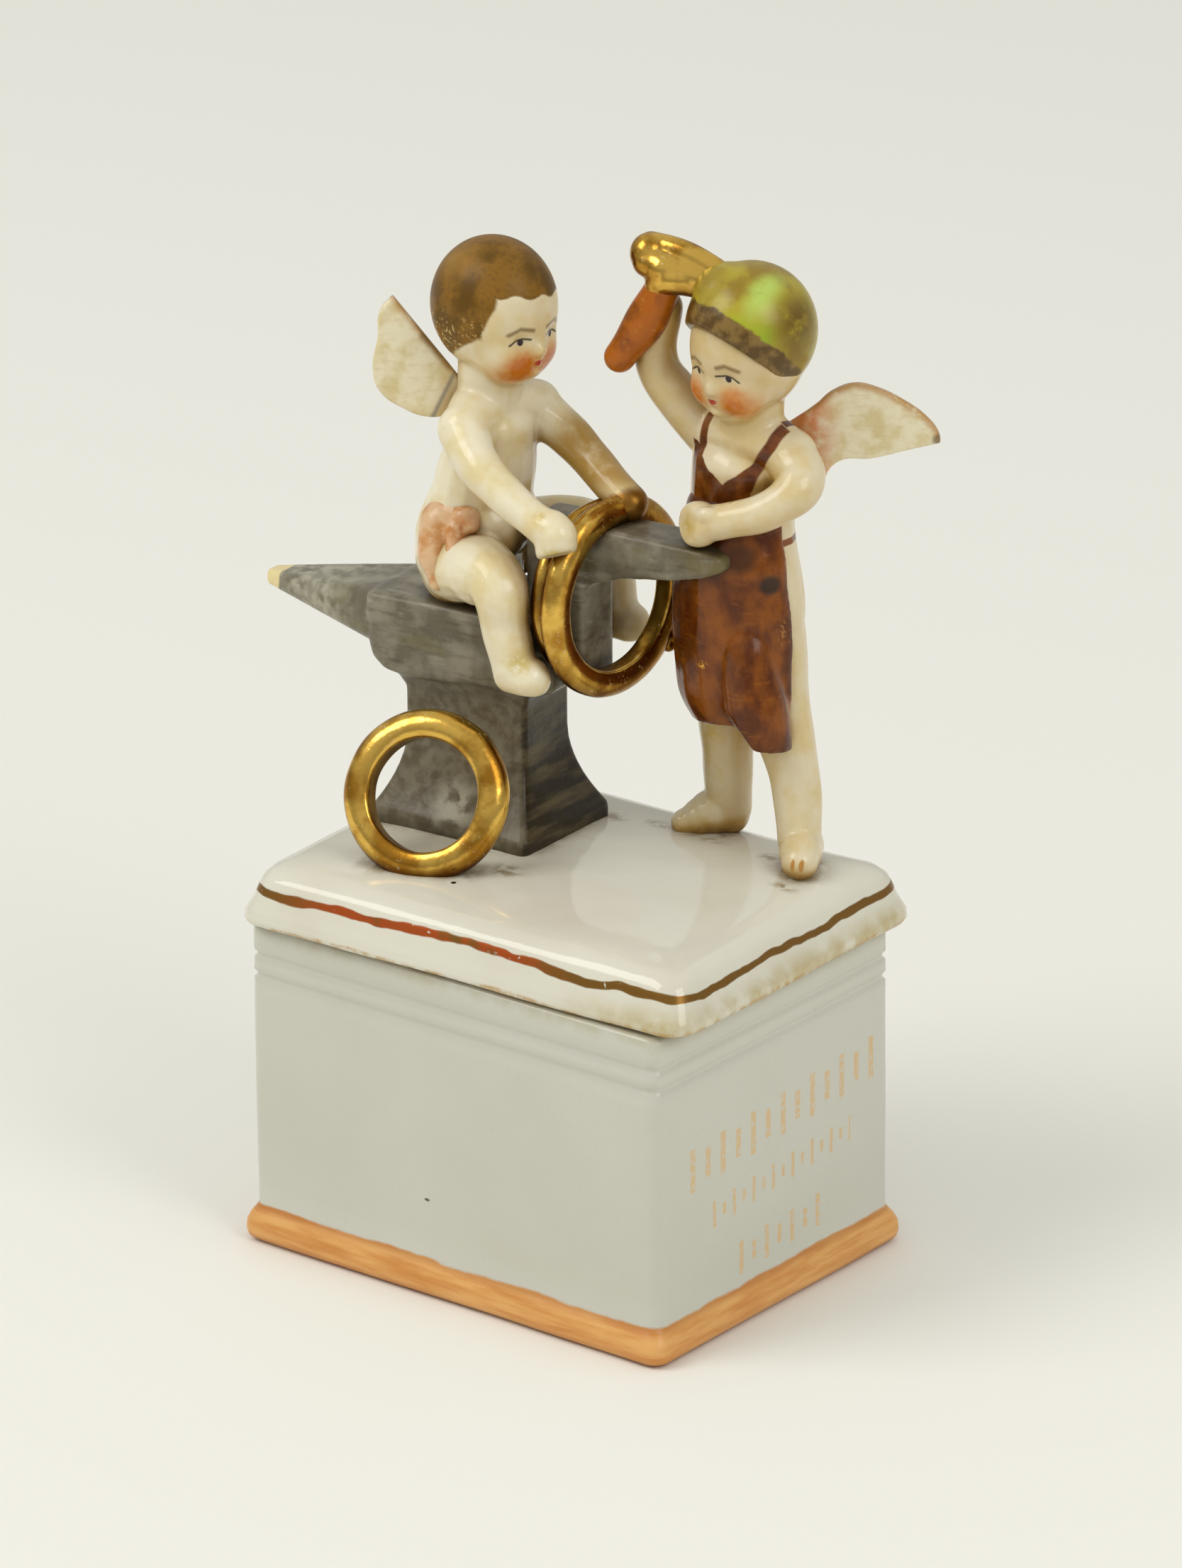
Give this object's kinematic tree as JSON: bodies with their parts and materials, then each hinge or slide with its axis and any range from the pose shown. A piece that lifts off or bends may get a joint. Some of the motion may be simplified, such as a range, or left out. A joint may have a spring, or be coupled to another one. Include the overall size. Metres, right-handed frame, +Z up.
{
  "type": "figurine box",
  "caption": "Lidded porcelain trinket box; on its lift-off lid two winged putti forge gilt rings at an anvil.",
  "frame": {"origin": "middle of the box's underside", "axes": "+Z up, X along the box's long sides with the anvil's horn towards -X, -Y the front with the small ring"},
  "size_m": [0.0809, 0.06, 0.124],
  "materials": {
    "grey_glaze": "gloss",
    "white_glaze": "gloss",
    "flesh_glaze": "gloss",
    "anvil_enamel": "satin",
    "brown_enamel": "gloss",
    "green_enamel": "gloss",
    "gilding": "bright gilt, worn"
  },
  "bodies": {
    "root": {"box": "grey_glaze", "lid_with_figures": "white_glaze"}
  },
  "joints": []
}
